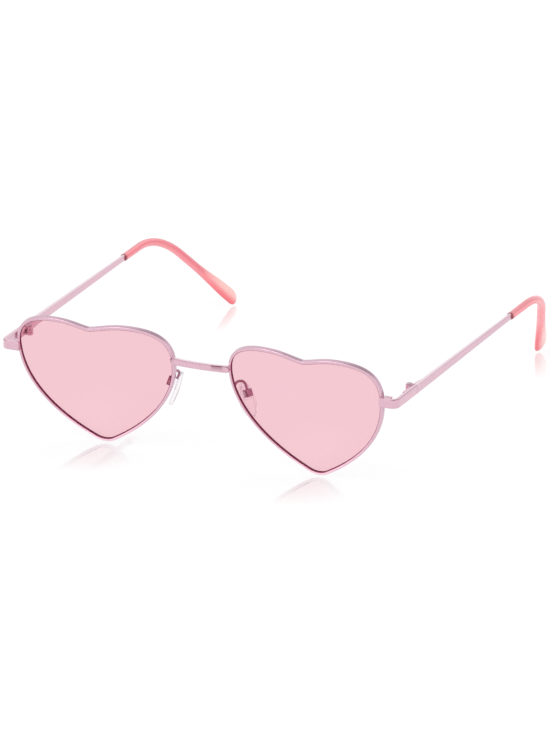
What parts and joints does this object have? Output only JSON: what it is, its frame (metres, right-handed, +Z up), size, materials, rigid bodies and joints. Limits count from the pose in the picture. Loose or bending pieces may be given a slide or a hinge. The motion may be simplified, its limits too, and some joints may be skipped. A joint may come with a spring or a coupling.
{
  "type": "heart shaped sunglasses",
  "caption": "Metal wire sunglasses with tinted heart lenses, bar bridge, clear nose pads, folding temples and soft ear tips; they stand open on the lens tips and ear tips.",
  "frame": {"origin": "middle of the box that holds the open sunglasses, on the floor that they stand on", "axes": "+Z up, the lenses face -Y, the temples run back along +Y, +X is the right-hand side seen from the front"},
  "size_m": [0.1382, 0.1408, 0.0435],
  "materials": {
    "frame_metal": "pink lavender plated and lacquered metal, glossy",
    "tinted_lens": "clear pink polycarbonate, polished",
    "coral_acetate": "translucent coral pink plastic, polished",
    "clear_silicone": "clear soft silicone, satin",
    "screw_steel": "small steel screws",
    "insert_plastic": "clear hard plastic insert"
  },
  "bodies": {
    "front": {"bridge": "frame_metal", "right_rim": "frame_metal", "right_lens": "tinted_lens", "right_upper_block": "frame_metal", "right_lower_block": "frame_metal", "right_rim_screw": "screw_steel", "right_end_piece": "frame_metal", "right_front_leaf": "frame_metal", "right_hinge_screw": "screw_steel", "right_pad_arm": "frame_metal", "right_pad_box": "frame_metal", "right_pad_screw": "screw_steel", "left_rim": "frame_metal", "left_lens": "tinted_lens", "left_upper_block": "frame_metal", "left_lower_block": "frame_metal", "left_rim_screw": "screw_steel", "left_end_piece": "frame_metal", "left_front_leaf": "frame_metal", "left_hinge_screw": "screw_steel", "left_pad_arm": "frame_metal", "left_pad_box": "frame_metal", "left_pad_screw": "screw_steel"},
    "right_temple_arm": {"right_temple": "frame_metal", "right_temple_leaf": "frame_metal", "right_temple_tip": "coral_acetate"},
    "right_pad": {"right_nose_pad": "clear_silicone", "right_pad_insert": "insert_plastic"},
    "left_temple_arm": {"left_temple": "frame_metal", "left_temple_leaf": "frame_metal", "left_temple_tip": "coral_acetate"},
    "left_pad": {"left_nose_pad": "clear_silicone", "left_pad_insert": "insert_plastic"}
  },
  "joints": [
    {"name": "right_temple_hinge", "type": "hinge", "parent": "front", "child": "right_temple_arm", "pos_m": [0.0659, -0.05362, 0.0311], "axis": [0, 0, 1], "range_deg": [0, 86]},
    {"name": "left_temple_hinge", "type": "hinge", "parent": "front", "child": "left_temple_arm", "pos_m": [-0.0659, -0.05362, 0.0311], "axis": [0, 0, -1], "range_deg": [0, 75]},
    {"name": "right_pad_rock", "type": "hinge", "parent": "front", "child": "right_pad", "pos_m": [0.0139, -0.05893, 0.02416], "axis": [0.342, 0.9397, 0], "range_deg": [-8, 8]},
    {"name": "left_pad_rock", "type": "hinge", "parent": "front", "child": "left_pad", "pos_m": [-0.0139, -0.05893, 0.02416], "axis": [-0.342, 0.9397, 0], "range_deg": [-8, 8]}
  ]
}
